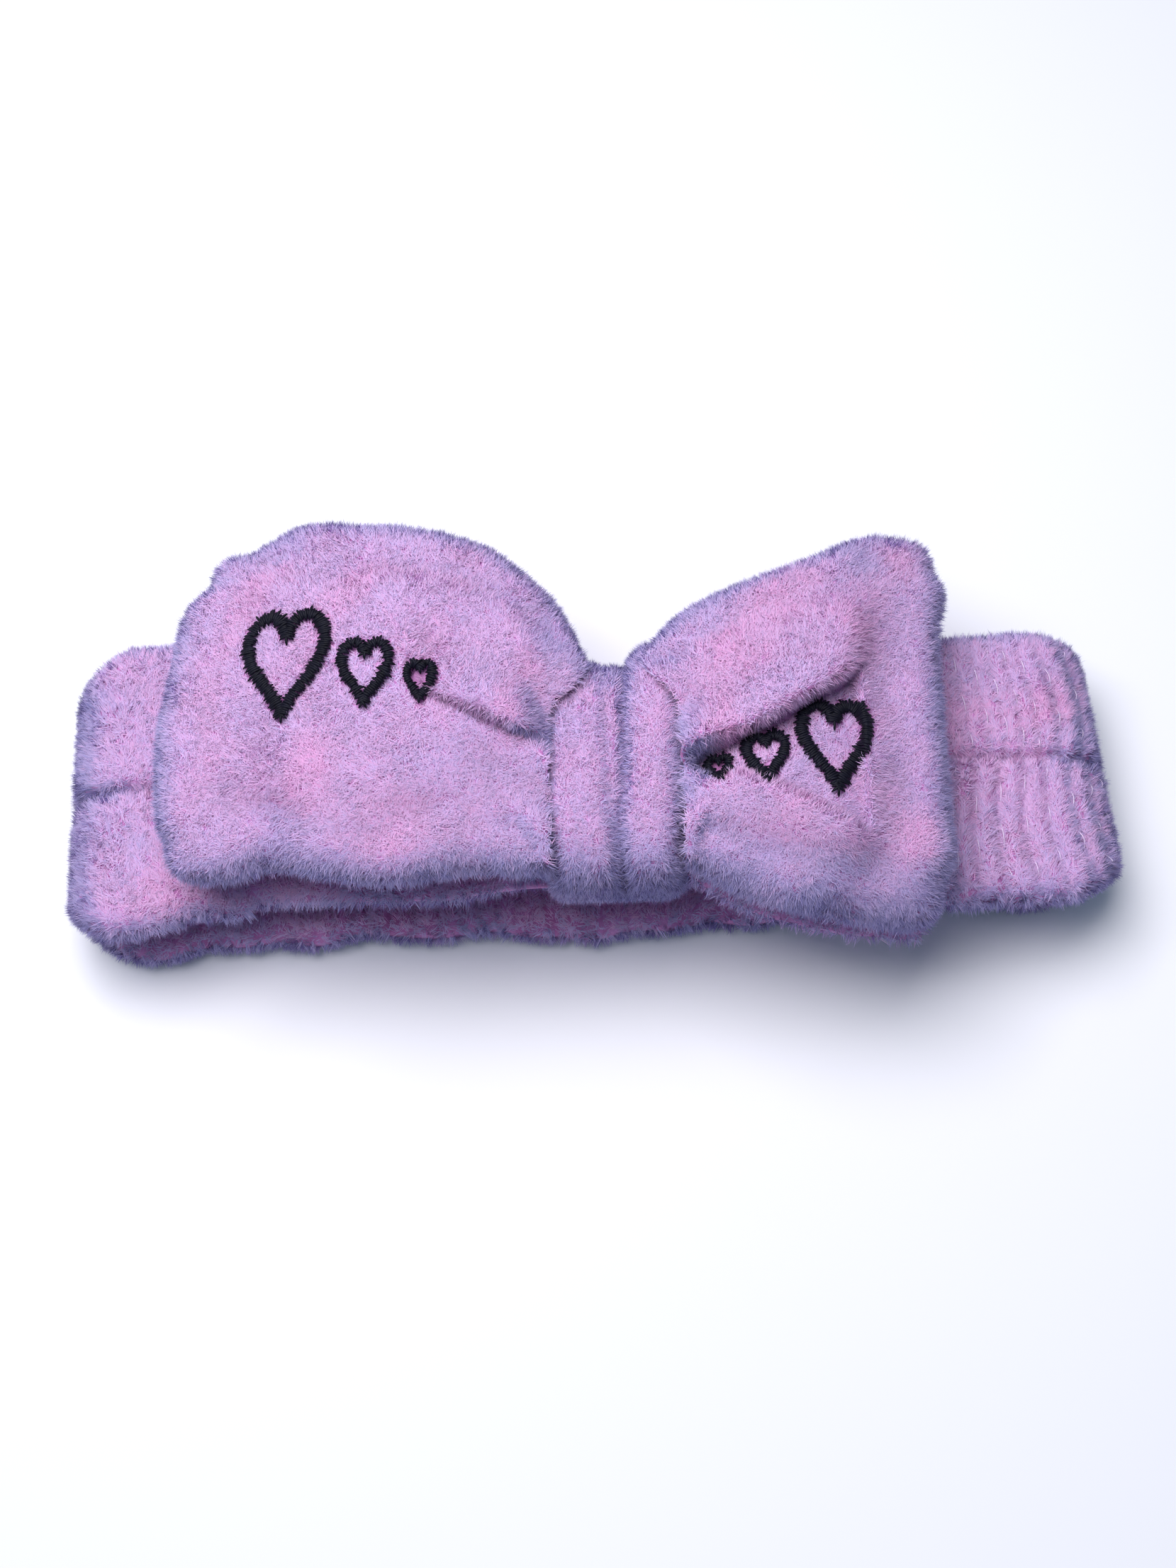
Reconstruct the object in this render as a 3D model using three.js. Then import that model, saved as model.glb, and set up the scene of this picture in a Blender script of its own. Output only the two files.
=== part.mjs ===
// A plush spa headband with a padded bow, lying on its back with the bow facing up.
// Millimetres. +X runs along the flattened band, +Y across its height, +Z up out of the bow.
// The origin is where the middle of the back band rests on the table.
import * as THREE from "three";

// ---- Driving dimensions ----
const BAND_LENGTH = 240; // outside to outside, lying flat
const BAND_HEIGHT = 66; // across the band
const RING_DEPTH = 32; // back face to front face, near the two turns
const ARCH = 10; // how much further the front stands up under the bow
const FLEECE = 3.6; // one layer of fleece with its pile
const CORE = 2; // room between the two layers, for elastic or wadding
const SLIT = 0.4; // gap between pieces that lie on each other
const FRONT_HALF = 77; // half the length of the smooth front band
const SEAM_ROOM = 1; // between the front band's end and the gathered cover's end
const WEB = 24; // width of each elastic
const WEB_THICK = 1.2;
const WADDING_THICK = 1.4;
const KNOT_X = 5; // middle of the knot
const KNOT_Y = -10;
const KNOT_WIDTH = 30;
const WRAP = 4.5; // thickness of the knot's strap
const THREAD = 1; // height of a row of stitches

// ---- Worked-out dimensions ----
const WALL_HALF = FLEECE + CORE / 2;
const TURN_RADIUS = RING_DEPTH / 2 - WALL_HALF; // to the middle of the wall
const STRAIGHT = BAND_LENGTH / 2 - RING_DEPTH / 2; // from the middle to where a turn starts
const TURN_LENGTH = Math.PI * TURN_RADIUS;
const FRONT_Z = RING_DEPTH - WALL_HALF; // middle of the front wall, without its arch
const HALF_HEIGHT = BAND_HEIGHT / 2;
const COVER_END = STRAIGHT + TURN_LENGTH + STRAIGHT - FRONT_HALF - SEAM_ROOM;
const KNOT_LEFT = KNOT_X - KNOT_WIDTH / 2;
const KNOT_RIGHT = KNOT_X + KNOT_WIDTH / 2;
const BAND_TOP = RING_DEPTH + ARCH; // outside of the front band under the knot

// ---- Materials ----
const material = (color, roughness) =>
  new THREE.MeshStandardMaterial({ color, roughness, metalness: 0 });
const PINK_FLEECE = material(0xcfa6dc, 0.95);
const PINK_THREAD = material(0xd992c4, 0.7);
const BLACK_THREAD = material(0x14141c, 0.5);
const WHITE_WEBBING = material(0xe9e6ea, 0.8);
const WHITE_WADDING = material(0xf2eef2, 1.0);
const WHITE_BACKING = material(0xe6e2e8, 0.9);

const headband = new THREE.Group();

function add(name, geometry, finish) {
  const mesh = new THREE.Mesh(geometry, finish);
  mesh.name = name;
  headband.add(mesh);
}

// ---- Helpers ----
const mix = (a, b, t) => a + (b - a) * t;

// Evenly spaced numbers from a to b, both included.
function steps(a, b, count) {
  return Array.from({ length: count + 1 }, (_, i) => mix(a, b, i / count));
}

// Several runs of stations joined end to end.
function joined(...runs) {
  return runs.flatMap((run, i) => (i ? run.slice(1) : run));
}

// A mapping that mirrors the box turns its faces inwards, and this turns them out again.
function facingOut(geometry) {
  const at = geometry.getAttribute("position");
  const index = geometry.index.array;
  const [a, b, c] = [new THREE.Vector3(), new THREE.Vector3(), new THREE.Vector3()];
  let volume = 0;
  for (let i = 0; i < index.length; i += 3) {
    a.fromBufferAttribute(at, index[i]);
    b.fromBufferAttribute(at, index[i + 1]);
    c.fromBufferAttribute(at, index[i + 2]);
    volume += a.dot(b.cross(c));
  }
  if (volume < 0) index.reverse();
  geometry.computeVertexNormals();
  return geometry;
}

// A sheet: a box of cells with its corners put in place by place(u, v, w).
// u and v are stations along and across it, and w is 0 on its underside and 1 on its face.
function sheet(alongStations, acrossStations, place) {
  const along = alongStations.length - 1;
  const across = acrossStations.length - 1;
  const geometry = new THREE.BoxGeometry(1, 1, 1, along, across, 1);
  const at = geometry.getAttribute("position");
  for (let i = 0; i < at.count; i++) {
    const u = alongStations[Math.round((at.getX(i) + 0.5) * along)];
    const v = acrossStations[Math.round((at.getY(i) + 0.5) * across)];
    at.setXYZ(i, ...place(u, v, at.getZ(i) + 0.5));
  }
  return facingOut(geometry);
}

// ---- The flattened ring that the band follows ----
const archAt = (x) =>
  Math.abs(x) < STRAIGHT ? ARCH * Math.cos((Math.PI * x) / (2 * STRAIGHT)) ** 2 : 0;

// [x, z] at a distance s along the wall from the middle of the back, d outside the wall's middle.
function ringPoint(s, d) {
  const side = Math.sign(s);
  const beyond = Math.abs(s) - STRAIGHT;
  if (beyond <= 0) return [s, WALL_HALF - d];
  if (beyond < TURN_LENGTH) {
    const angle = beyond / TURN_RADIUS;
    const reach = TURN_RADIUS + d;
    return [
      side * (STRAIGHT + reach * Math.sin(angle)),
      WALL_HALF + TURN_RADIUS - reach * Math.cos(angle),
    ];
  }
  const x = STRAIGHT - (beyond - TURN_LENGTH);
  return [side * x, FRONT_Z + d + archAt(x)];
}

// The wall is full thickness over most of its height and thins to its two sewn edges.
const EDGE_FROM = 0.75;
const EDGE_SHARE = 0.4;
const CORE_FROM = 0.85;
const bandStations = [-1, -0.96, -0.88, -0.75, 0, 0.75, 0.88, 0.96, 1];

function outsideOf(v) {
  const t = Math.max(0, (Math.abs(v) - EDGE_FROM) / (1 - EDGE_FROM));
  return WALL_HALF * (EDGE_SHARE + (1 - EDGE_SHARE) * Math.sqrt(1 - t * t));
}

function coreOf(v) {
  const t = Math.max(0, (Math.abs(v) - CORE_FROM) / (1 - CORE_FROM));
  return mix(CORE / 2, SLIT / 2, t);
}

// The two faces of a layer: "outer" lies outside the core, and "lining" inside it.
function layerOffset(layer, v, w) {
  const d = mix(coreOf(v), outsideOf(v), w);
  return layer === "outer" ? d : -d;
}

// The band is drawn in where the knot holds it.
const WAIST_HALF = KNOT_WIDTH / 2 + 2; // drawn in evenly under the knot
const WAIST_REACH = 34; // from there to where the band has its full height
const WAIST_CUT = 11;

function waist(x) {
  const t = Math.max(0, Math.min(1, (Math.abs(x - KNOT_X) - WAIST_HALF) / WAIST_REACH));
  return 1 - t * t * (3 - 2 * t);
}

const frontY = (x, v) => KNOT_Y * waist(x) + (HALF_HEIGHT - WAIST_CUT * waist(x)) * v;
const frontZ = (x, d) => FRONT_Z + archAt(x) + d;

// ---- Gathered back band: two fleece layers with two elastics between them ----
function coverStations(end) {
  const turn = STRAIGHT + TURN_LENGTH;
  return joined(
    [-end, -turn],
    steps(-turn, -STRAIGHT, 8),
    steps(-STRAIGHT, STRAIGHT, 4),
    steps(STRAIGHT, turn, 8),
    [turn, end],
  );
}

function addBackBand() {
  for (const layer of ["outer", "lining"]) {
    const place = (s, v, w) => {
      const [x, z] = ringPoint(s, layerOffset(layer, v, w));
      return [x, HALF_HEIGHT * v, z];
    };
    add("back_band_" + layer, sheet(coverStations(COVER_END), bandStations, place), PINK_FLEECE);
  }

  const anchor = 3; // length of the stitched end of the elastics
  const channel = 3; // from the middle of the band to the edge of an elastic
  const strip = (end, low, high, thick) =>
    sheet(coverStations(end), [low, high], (s, y, w) => {
      const [x, z] = ringPoint(s, (w - 0.5) * thick);
      return [x, y, z];
    });
  const webEnd = COVER_END - anchor;
  add("upper_elastic", strip(webEnd, channel, channel + WEB, WEB_THICK), WHITE_WEBBING);
  add("lower_elastic", strip(webEnd, -channel - WEB, -channel, WEB_THICK), WHITE_WEBBING);
  add("channel_stitching", strip(webEnd, -THREAD / 2, THREAD / 2, THREAD), PINK_THREAD);

  for (const [side, name] of [[-1, "left"], [1, "right"]]) {
    const place = (s, y, w) => {
      const [x, z] = ringPoint(side * s, (w - 0.5) * THREAD);
      return [x, y, z];
    };
    const reach = channel + WEB;
    const ends = [webEnd + SLIT, COVER_END - SLIT];
    add(name + "_elastic_anchor", sheet(ends, [-reach, reach], place), PINK_THREAD);
  }
}

// ---- Smooth front band: fleece, wadding and lining ----
function addFrontBand() {
  const stations = (end) => joined(
    steps(-end, KNOT_X - WAIST_HALF, 6),
    steps(KNOT_X - WAIST_HALF, KNOT_X + WAIST_HALF, 3),
    steps(KNOT_X + WAIST_HALF, end, 6),
  );
  for (const layer of ["outer", "lining"]) {
    const place = (x, v, w) => [x, frontY(x, v), frontZ(x, layerOffset(layer, v, w))];
    add("front_band_" + layer, sheet(stations(FRONT_HALF), bandStations, place), PINK_FLEECE);
  }
  const padded = 0.8; // share of the height and length that the wadding fills
  const fill = (x, v, w) => [x, frontY(x, v), frontZ(x, (w - 0.5) * WADDING_THICK)];
  const fillXs = stations(FRONT_HALF - SLIT);
  add("front_band_wadding", sheet(fillXs, [-padded, padded], fill), WHITE_WADDING);

  // Each overlocked seam is a thin plate between the front band's end and the gathered cover's.
  const seam = SEAM_ROOM - 2 * 0.3;
  const tall = 0.94;
  for (const [side, name] of [[-1, "left"], [1, "right"]]) {
    const middle = side * (FRONT_HALF + SEAM_ROOM / 2);
    const place = (x, v, w) => [x, HALF_HEIGHT * tall * v, frontZ(x, mix(-3, 3, w))];
    add(
      name + "_join_seam",
      sheet([middle - seam / 2, middle + seam / 2], steps(-1, 1, 2), place),
      PINK_THREAD,
    );
  }
}

// ---- Knot: a strap round the bow's waist and the front band ----
const HOLE_HALF = HALF_HEIGHT - WAIST_CUT + 1;
const HOLE_LOW = BAND_TOP - 2 * WALL_HALF - 1.2;
const HOLE_HIGH = HOLE_LOW + 24;
const WRAP_LOW = HOLE_LOW - WRAP;

// A rectangle with round corners, as a path in Y and Z.
function roundedPath(path, halfWide, low, high, radius) {
  path.moveTo(KNOT_Y - halfWide + radius, low);
  path.lineTo(KNOT_Y + halfWide - radius, low);
  path.absarc(KNOT_Y + halfWide - radius, low + radius, radius, -Math.PI / 2, 0);
  path.absarc(KNOT_Y + halfWide - radius, high - radius, radius, 0, Math.PI / 2);
  path.absarc(KNOT_Y - halfWide + radius, high - radius, radius, Math.PI / 2, Math.PI);
  path.absarc(KNOT_Y - halfWide + radius, low + radius, radius, Math.PI, 1.5 * Math.PI);
  path.closePath();
  return path;
}

// A closed strap of this width along X, with its middle at x.
function strap(x, width, halfWide, low, high, radius, wall, segments) {
  const shape = roundedPath(
    new THREE.Shape(), halfWide + wall, low - wall, high + wall, radius + wall);
  shape.holes.push(roundedPath(new THREE.Path(), halfWide, low, high, radius));
  const geometry = new THREE.ExtrudeGeometry(shape, {
    depth: width,
    bevelEnabled: false,
    curveSegments: segments,
  });
  // The shape's own axes become Y and Z, and the extrusion becomes X.
  geometry.rotateX(Math.PI / 2).rotateZ(Math.PI / 2);
  return geometry.translate(x - width / 2, 0, 0);
}

const BOW_LOW = BAND_TOP + 1.6; // underside of the bow's waist
const BOW_HIGH = HOLE_HIGH - 1.2;
const GROOVE_HALF = 2.5;
const GROOVE_DEPTH = 1.6;

function addKnot() {
  add("knot_wrap", strap(KNOT_X, KNOT_WIDTH, HOLE_HALF, HOLE_LOW, HOLE_HIGH, 5, WRAP, 5), PINK_FLEECE);
  const seamTop = WRAP_LOW - 0.3;
  add(
    "knot_closing_seam",
    new THREE.BoxGeometry(KNOT_WIDTH - 2, 2, THREAD).translate(KNOT_X, KNOT_Y, seamTop - THREAD / 2),
    PINK_THREAD,
  );

  // The bow's pinched middle, with a groove where thread is wound round it.
  const half = KNOT_WIDTH / 2 - 1;
  const xs = [-half, -GROOVE_HALF - 1, -GROOVE_HALF, GROOVE_HALF, GROOVE_HALF + 1, half];
  const inGroove = (x) => (Math.abs(x) <= GROOVE_HALF ? GROOVE_DEPTH : 0);
  const round = (v) => 3 * Math.abs(v) ** 3; // the bundle is thinner at its two sides
  const wide = HOLE_HALF - 3.5;
  add(
    "bow_waist",
    sheet(xs, steps(-1, 1, 4), (x, v, w) => [
      KNOT_X + x,
      KNOT_Y + (wide - inGroove(x)) * v,
      mix(BOW_LOW + inGroove(x) + round(v), BOW_HIGH - inGroove(x) - round(v), w),
    ]),
    PINK_FLEECE,
  );
  const clear = 0.5;
  add(
    "waist_binding",
    strap(
      KNOT_X, 2 * GROOVE_HALF - 1, wide - GROOVE_DEPTH + clear,
      BOW_LOW + GROOVE_DEPTH - clear, BOW_HIGH - GROOVE_DEPTH + clear, 2, 0.8, 3,
    ),
    PINK_THREAD,
  );
  const tackRoom = BOW_LOW - BAND_TOP;
  add(
    "bow_tack",
    new THREE.BoxGeometry(6, 12, tackRoom - 1).translate(KNOT_X - 9, KNOT_Y, BAND_TOP + tackRoom / 2),
    PINK_THREAD,
  );
}

// ---- Bow loops ----
// Each loop is a front panel and a back panel, sewn together along their outer edge.
// Each panel is two fleece layers, and the front one has the embroidery's backing between them.
const LOOP_START = 0.4; // from the knot's side to the loop
const ROOT_LOW = KNOT_Y - 20; // lower and upper edge of a loop at the knot
const ROOT_HIGH = KNOT_Y + 28;
const BACK_ROOT_Z = BAND_TOP + 0.8 + FLEECE;
const PANEL_GAP = 2 * FLEECE + 2 * SLIT; // least distance between the two panels' middles
const LEAF = FLEECE - 0.3;

// How far a loop's edges reach, and how it puffs and sags. x is measured from the knot's side.
const loops = {
  left: {
    side: -1,
    root: KNOT_LEFT - LOOP_START,
    length: 80.5,
    high: (u) => (u < 0.6
      ? mix(45, ROOT_HIGH, (1 - u / 0.6) ** 3)
      : 45 - 8 * ((u - 0.6) / 0.4) ** 2),
    low: (u) => mix(-35, ROOT_LOW, (1 - u) ** 4),
    edge: (v) => -6 * Math.max(0, v + 0.4) ** 2 - 6 * (Math.max(0, -v - 0.7) / 0.3) ** 2,
    puff: 9,
    tipZ: 42,
    sag: 0,
    pocket: 0,
    hearts: { x: -53, y: 12, size: 20, tilt: -0.04 },
  },
  right: {
    side: 1,
    root: KNOT_RIGHT + LOOP_START,
    length: 58,
    high: (u) => (u < 0.85
      ? mix(42, ROOT_HIGH, (1 - u / 0.85) ** 1.8)
      : 42 - 2 * ((u - 0.85) / 0.15) ** 2),
    low: (u) => mix(-45, ROOT_LOW, (1 - u) ** 1.5),
    edge: (v) => -3 * Math.max(0, v) ** 2 - 4 * (Math.max(0, -v - 0.7) / 0.3) ** 2,
    puff: 9,
    tipZ: 41,
    sag: 15,
    pocket: 4,
    hearts: { x: 41.5, y: -8, size: 17, tilt: 0 },
  },
};

const SAG_FROM = -HALF_HEIGHT - 1; // a loop can only droop past the band's lower edge
const SAG_OVER = 13;

function loopXY(loop, u, v) {
  const x = loop.root + loop.side * (loop.length + loop.edge(v)) * u;
  return [x, mix(loop.low(u), loop.high(u), (v + 1) / 2)];
}

function sagAt(loop, y) {
  return loop.sag * Math.max(0, (SAG_FROM - y) / SAG_OVER) ** 1.2;
}

// Height of the middle of the back panel, and of the front panel above it.
function backZ(loop, u, v) {
  return mix(BACK_ROOT_Z, loop.tipZ, u) - sagAt(loop, loopXY(loop, u, v)[1]);
}

function frontPanelZ(loop, u, v) {
  const belly = Math.sin(Math.PI * u) ** 0.8;
  const hollow = loop.pocket * belly * Math.exp(-(((v - 0.1) / 0.3) ** 2));
  return backZ(loop, u, v) + PANEL_GAP + loop.puff * belly * (1 - 0.45 * v * v) - hollow;
}

// Height of the front of the loop over a point of its outline, found by walking back to u and v.
function faceZ(loop, x, y) {
  let [u, v] = [0.5, 0];
  for (let i = 0; i < 12; i++) {
    u = Math.max(0, Math.min(1, ((x - loop.root) * loop.side) / (loop.length + loop.edge(v))));
    v = (2 * (y - loop.low(u))) / (loop.high(u) - loop.low(u)) - 1;
  }
  return frontPanelZ(loop, u, v) + SLIT / 2 + LEAF;
}

const loopUs = [0, 0.12, 0.25, 0.4, 0.55, 0.7, 0.85, 0.95, 1];
const loopVs = [-1, -0.9, -0.75, -0.4, 0, 0.4, 0.75, 0.9, 1];

function addPanelLayer(name, loop, middle, direction) {
  const place = (u, v, w) => {
    const offset = direction * (SLIT / 2 + LEAF * w);
    return [...loopXY(loop, u, v), middle(loop, u, v) + offset];
  };
  add(name, sheet(loopUs, loopVs, place), PINK_FLEECE);
}

// A point on the outline of a heart of this size, as an angle goes once round it.
function heartPoint(size, t) {
  const x = 16 * Math.sin(t) ** 3;
  const y = 13 * Math.cos(t) - 5 * Math.cos(2 * t) - 2 * Math.cos(3 * t) - Math.cos(4 * t);
  return [(size * x) / 32, (HEART_TALL * size * (y + 2.5)) / 30];
}

// A closed band with four corners at each station: inner and outer, bottom and top.
function closedBand(count, place) {
  const corners = [[0, 0], [1, 0], [1, 1], [0, 1]];
  const points = [];
  const index = [];
  for (let i = 0; i < count; i++) {
    for (let k = 0; k < corners.length; k++) {
      points.push(...place((2 * Math.PI * i) / count, ...corners[k]));
      const here = 4 * i + k;
      const beside = 4 * i + ((k + 1) % 4);
      const next = 4 * ((i + 1) % count) + k;
      const nextBeside = 4 * ((i + 1) % count) + ((k + 1) % 4);
      index.push(here, beside, nextBeside, here, nextBeside, next);
    }
  }
  const geometry = new THREE.BufferGeometry();
  geometry.setAttribute("position", new THREE.Float32BufferAttribute(points, 3));
  geometry.setIndex(index);
  return facingOut(geometry);
}

// A heart drawn in satin stitch: a band of thread that lies on the loop's face.
const STROKE = 2.9;
const HEART_TALL = 1.45; // hearts are drawn taller than they are wide
const HEART_LIFT = 0.9;
const HEART_THICK = 0.8;
const HEART_POINTS = 24;

// (along, up) is the heart's middle, measured in the row of hearts, which is tilted as a whole.
function stitchedHeart(loop, along, up, size) {
  const { x, y, tilt } = loop.hearts;
  const [c, s] = [Math.cos(tilt), Math.sin(tilt)];
  return closedBand(HEART_POINTS, (t, out, top) => {
    const [dx, dy] = heartPoint(size - 2 * STROKE * (1 - out), t);
    const px = x + c * (along + dx) - s * (up + dy);
    const py = y + s * (along + dx) + c * (up + dy);
    return [px, py, faceZ(loop, px, py) + HEART_LIFT + HEART_THICK * top];
  });
}

function addLoop(name, loop) {
  addPanelLayer(name + "_loop_front_face", loop, frontPanelZ, 1);
  addPanelLayer(name + "_loop_front_reverse", loop, frontPanelZ, -1);
  addPanelLayer(name + "_loop_back_reverse", loop, backZ, 1);
  addPanelLayer(name + "_loop_back_face", loop, backZ, -1);

  // The thread along the outer edge is a thin strip just outside both panels.
  const out = loop.side * 0.3;
  const thick = loop.side * THREAD;
  const reach = FLEECE;
  const edge = (u, v, w) => {
    const [x, y] = loopXY(loop, 1, v);
    const z = mix(backZ(loop, 1, v) - reach, frontPanelZ(loop, 1, v) + reach, w);
    return [x + out + thick * u, y, z];
  };
  add(name + "_loop_edge_seam", sheet([0, 1], loopVs, edge), PINK_THREAD);

  // A row of hearts that gets smaller towards the knot.
  const hearts = [
    ["large", 0.59, 0, 1],
    ["medium", -0.285, -0.14, 0.65],
    ["small", -0.875, -0.24, 0.43],
  ];
  const size = loop.hearts.size;
  for (const [label, out, up, scale] of hearts) {
    const heart = stitchedHeart(loop, loop.side * out * size, up * size, size * scale);
    add(name + "_motif_heart_" + label, heart, BLACK_THREAD);
  }
}

addBackBand();
addFrontBand();
addKnot();
for (const [name, loop] of Object.entries(loops)) addLoop(name, loop);

export default headband;
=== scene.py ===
"""A plush spa headband with a padded bow: fleece skins, their pile, and the stitching.

Shapes are worked out in millimetres in the row frame and turned into metres when a mesh is made.
"""

import math

import bpy
import numpy as np
from mathutils import Matrix, Vector


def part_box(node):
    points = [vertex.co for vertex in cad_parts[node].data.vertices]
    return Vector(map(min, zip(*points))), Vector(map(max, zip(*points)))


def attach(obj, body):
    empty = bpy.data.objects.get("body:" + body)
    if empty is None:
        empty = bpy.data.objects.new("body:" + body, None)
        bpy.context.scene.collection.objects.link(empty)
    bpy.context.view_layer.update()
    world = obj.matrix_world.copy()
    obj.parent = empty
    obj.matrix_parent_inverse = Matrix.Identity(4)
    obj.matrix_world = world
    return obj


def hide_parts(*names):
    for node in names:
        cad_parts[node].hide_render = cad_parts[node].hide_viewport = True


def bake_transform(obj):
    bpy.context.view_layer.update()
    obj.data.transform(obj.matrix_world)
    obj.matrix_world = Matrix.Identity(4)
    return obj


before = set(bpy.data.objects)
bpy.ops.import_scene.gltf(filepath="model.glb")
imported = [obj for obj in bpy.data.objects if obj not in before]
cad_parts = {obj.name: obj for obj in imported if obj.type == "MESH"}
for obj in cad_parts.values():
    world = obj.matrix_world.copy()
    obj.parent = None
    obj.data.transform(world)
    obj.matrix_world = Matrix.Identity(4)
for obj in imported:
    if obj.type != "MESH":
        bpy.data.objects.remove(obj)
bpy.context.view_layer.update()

MM = 0.001
TAU = 2 * math.pi
DENSITY = 1.0  # share of the pile's tufts that are made


def cad(node):
    """A CAD node's lowest and highest corner, in millimetres."""
    low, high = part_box(node)
    return np.array(low) / MM, np.array(high) / MM


# ---- Dimensions, in millimetres, most of them read from the CAD ----
band_high = cad("back_band_outer")[1]
front_high = cad("front_band_outer")[1]
knot_low, knot_high = cad("knot_wrap")
web_low, web_high = cad("upper_elastic")
waist_low, waist_high = cad("bow_waist")

HALF_LENGTH = band_high[0]
HALF_HEIGHT = band_high[1]
FRONT_HALF = front_high[0]
RING_DEPTH = 32.0  # height of the flattened ring at its ends
ARCH = front_high[2] - RING_DEPTH  # how much higher its front is at the middle
WALL_HALF = 5.6  # half the band's thickness
TURN_RADIUS = RING_DEPTH / 2 - WALL_HALF
TURN_LENGTH = math.pi * TURN_RADIUS
STRAIGHT = HALF_LENGTH - RING_DEPTH / 2
HALF_TURN = STRAIGHT + TURN_LENGTH / 2  # distances along the band from the middle of its back
LAST_TURN = STRAIGHT + TURN_LENGTH
FRONT_MID = RING_DEPTH - WALL_HALF
KNOT_X = (knot_low[0] + knot_high[0]) / 2
KNOT_Y = (knot_low[1] + knot_high[1]) / 2
KNOT_HALF = (knot_high[0] - knot_low[0]) / 2
PILE_ROOM = 2.0  # how far the skin lies under the tips of the pile
FABRIC = 1.1  # thickness of a skin without its pile
THREAD = 0.24  # radius of a sewing thread


# ---- Small maths ----
def smooth(t):
    """0 below t = 0, 1 above t = 1, and smooth between them."""
    t = np.clip(t, 0, 1)
    return t * t * (3 - 2 * t)


def mix(a, b, t):
    return a + (b - a) * t


def unit(v):
    return v / np.maximum(np.linalg.norm(v, axis=-1, keepdims=True), 1e-9)


def across(stations, values, t):
    """A smooth curve through these values at these stations."""
    stations, values = np.array(stations, float), np.array(values, float)
    slope = np.gradient(values, stations)
    t = np.clip(t, stations[0], stations[-1])
    i = np.clip(np.searchsorted(stations, t) - 1, 0, len(stations) - 2)
    width = stations[i + 1] - stations[i]
    u = (t - stations[i]) / width
    return (
        values[i] * (2 * u**3 - 3 * u**2 + 1)
        + slope[i] * width * (u**3 - 2 * u**2 + u)
        + values[i + 1] * (3 * u**2 - 2 * u**3)
        + slope[i + 1] * width * (u**3 - u**2)
    )


def wander(points, size, seed):
    """A smooth random field over points, about -1 to 1, that changes over this distance."""
    rng = np.random.default_rng(seed)
    waves = unit(rng.normal(size=(9, 3))) * rng.uniform(0.6, 1.5, (9, 1)) * TAU / size
    phase = rng.uniform(0, TAU, 9)
    return np.sin(points @ waves.T + phase).sum(-1) / 3


# ---- Meshes ----
def mesh_object(name, points, faces, materials, which=None):
    """A mesh from points in millimetres and a list of face arrays, each of one corner count.

    which gives each face's place in the list of materials.
    """
    mesh = bpy.data.meshes.new(name)
    mesh.vertices.add(len(points))
    mesh.vertices.foreach_set("co", (points * MM).astype(np.float32).ravel())
    corners = np.concatenate([f.ravel() for f in faces])
    counts = np.concatenate([np.full(len(f), f.shape[1]) for f in faces])
    mesh.loops.add(len(corners))
    mesh.loops.foreach_set("vertex_index", corners.astype(np.int32))
    mesh.polygons.add(len(counts))
    starts = np.concatenate([[0], np.cumsum(counts)[:-1]])
    mesh.polygons.foreach_set("loop_start", starts.astype(np.int32))
    for finish in materials:
        mesh.materials.append(finish)
    if which is not None:
        mesh.polygons.foreach_set("material_index", which.astype(np.int32))
    mesh.polygons.foreach_set("use_smooth", np.full(len(counts), True))
    mesh.update(calc_edges=True)
    thing = bpy.data.objects.new(name, mesh)
    bpy.context.scene.collection.objects.link(thing)
    return thing


def grid_faces(rows, columns, start=0, closed=False):
    """The quads of a grid of points, rows by columns. closed joins the last row to the first."""
    last = rows if closed else rows - 1
    i, j = np.meshgrid(np.arange(last), np.arange(columns - 1), indexing="ij")
    here, below = i * columns + j, ((i + 1) % rows) * columns + j
    return start + np.stack([here, below, below + 1, here + 1], -1).reshape(-1, 4)


def normals_of(grid, closed=False):
    """Unit normals of a grid of points: its first direction crossed with its second."""
    if closed:
        first = np.roll(grid, -1, 0) - np.roll(grid, 1, 0)
    else:
        first = np.gradient(grid, axis=0)
    return unit(np.cross(first, np.gradient(grid, axis=1)))


def shell(name, face, thickness, finish, closed=False):
    """A closed sheet of fabric: a grid for its face, and its reverse this far behind."""
    normal = normals_of(face, closed)
    back = face - normal * thickness
    rows, columns = face.shape[:2]
    size = rows * columns
    faces = [
        grid_faces(rows, columns, closed=closed),
        grid_faces(rows, columns, size, closed)[:, ::-1],
    ]
    index = np.arange(size).reshape(rows, columns)
    rims = [(index[:, 0], False), (index[:, -1], True)]
    if not closed:
        rims += [(index[0], True), (index[-1], False)]
    for rim, turned in rims:
        ring = np.append(rim, rim[0]) if closed else rim
        a, b = ring[:-1], ring[1:]
        quads = np.stack([a, a + size, b + size, b], -1)
        faces.append(quads[:, ::-1] if turned else quads)
    points = np.concatenate([face.reshape(-1, 3), back.reshape(-1, 3)])
    return mesh_object(name, points, faces, [finish])


TAPER = 0.45  # a thread's radius at its ends, as a share of the rest
ASKEW = (0.31, 0.22, 0.92)  # no thread runs this way, so their sides are measured from it


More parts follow.
